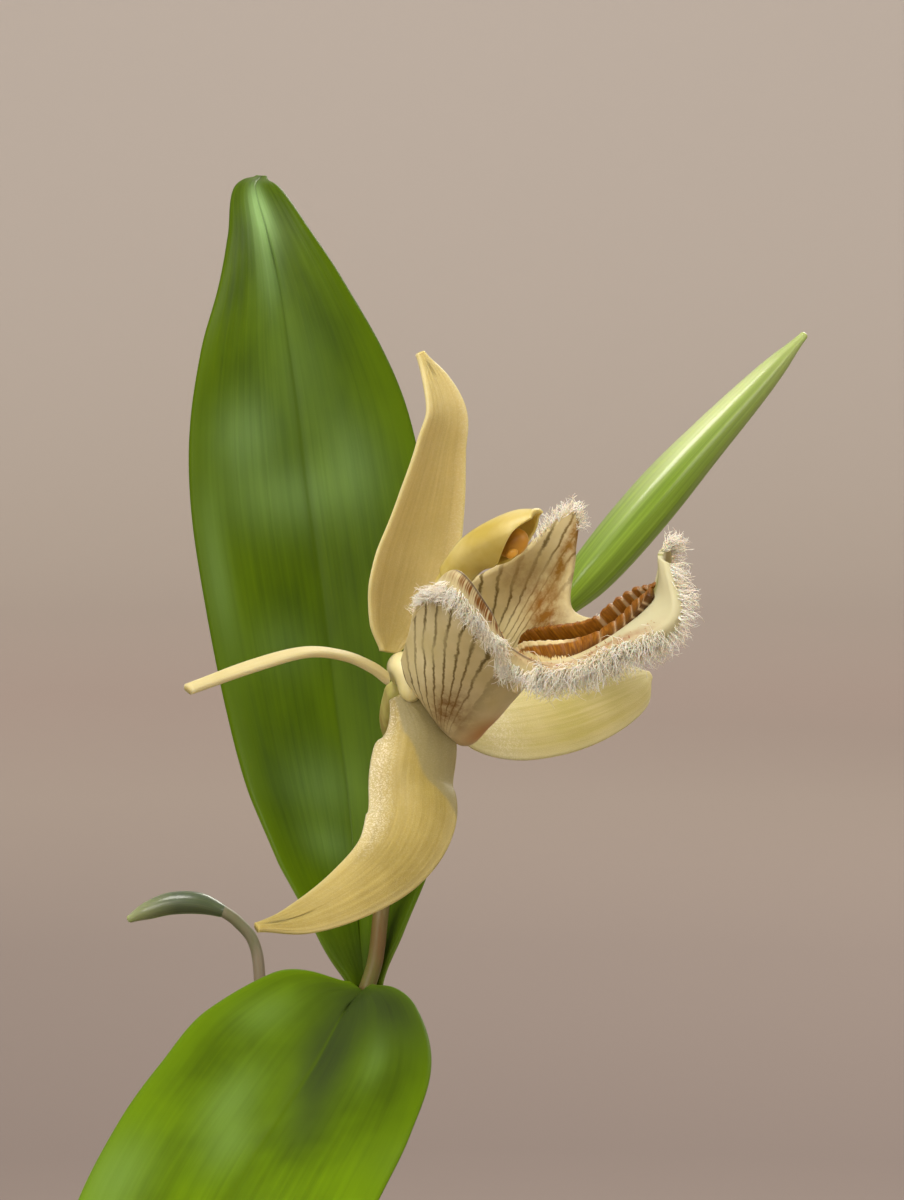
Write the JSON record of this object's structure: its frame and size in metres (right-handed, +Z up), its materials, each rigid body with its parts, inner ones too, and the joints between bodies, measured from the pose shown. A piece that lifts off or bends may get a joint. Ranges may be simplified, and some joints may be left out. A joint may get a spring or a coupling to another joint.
{
  "type": "potted coelogyne pallens",
  "caption": "Small orchid in a clay pot of bark: ribbed pseudobulbs with arching leaves, and an open fringed flower with its next bud on a thin stalk.",
  "frame": {"origin": "centre of the pot's foot, on the surface that it stands on", "axes": "+Z up, +Y to the back as the open flower is looked at, +X to its right"},
  "size_m": [0.1677, 0.1357, 0.1876],
  "materials": {
    "terracotta": "unglazed fired clay, matt, slightly rough",
    "bark": "rough pieces of conifer bark",
    "rhizome": "green-brown creeping stem under old papery scales",
    "root": "silvery velvety root skin",
    "pseudobulb": "smooth green, shallowly ribbed",
    "dry_scale": "dry papery fibres",
    "leaf": "glossy green leaf with a pale bloom of light along its veins",
    "stalk": "brown-olive, softly glossy",
    "bract": "yellow-green, smooth, softly glossy",
    "sepal": "translucent straw-yellow with fine glitter",
    "petal": "pale straw-yellow",
    "lip": "cream with brown veins, brown keels and white fringe",
    "column": "waxy yellow",
    "anther": "ochre, waxy"
  },
  "bodies": {
    "root": {"pot": "terracotta", "rhizome": "rhizome", "pseudobulb_bloom": "pseudobulb", "scale_bloom": "dry_scale", "pseudobulb_second": "pseudobulb", "scale_second": "dry_scale", "pseudobulb_left": "pseudobulb", "scale_left": "dry_scale", "pseudobulb_right": "pseudobulb", "scale_right": "dry_scale", "pseudobulb_old": "pseudobulb", "scale_old": "dry_scale", "root_1": "root", "root_2": "root", "root_3": "root", "root_4": "root", "root_5": "root", "root_6": "root", "root_7": "root", "root_8": "root", "bark": "bark", "leaf_upright": "leaf", "leaf_lower": "leaf", "leaf_second_back": "leaf", "leaf_second_side": "leaf", "leaf_left_high": "leaf", "leaf_left_low": "leaf", "leaf_right_high": "leaf", "leaf_right_low": "leaf", "flower_stalk": "stalk", "second_stalk": "stalk", "ovary": "stalk", "next_bract": "bract", "second_bud": "bract", "sepal_dorsal": "sepal", "sepal_near": "sepal", "sepal_far": "sepal", "petal_near": "petal", "petal_far": "petal", "lip": "lip", "column": "column", "anther_cap": "anther"}
  },
  "joints": []
}
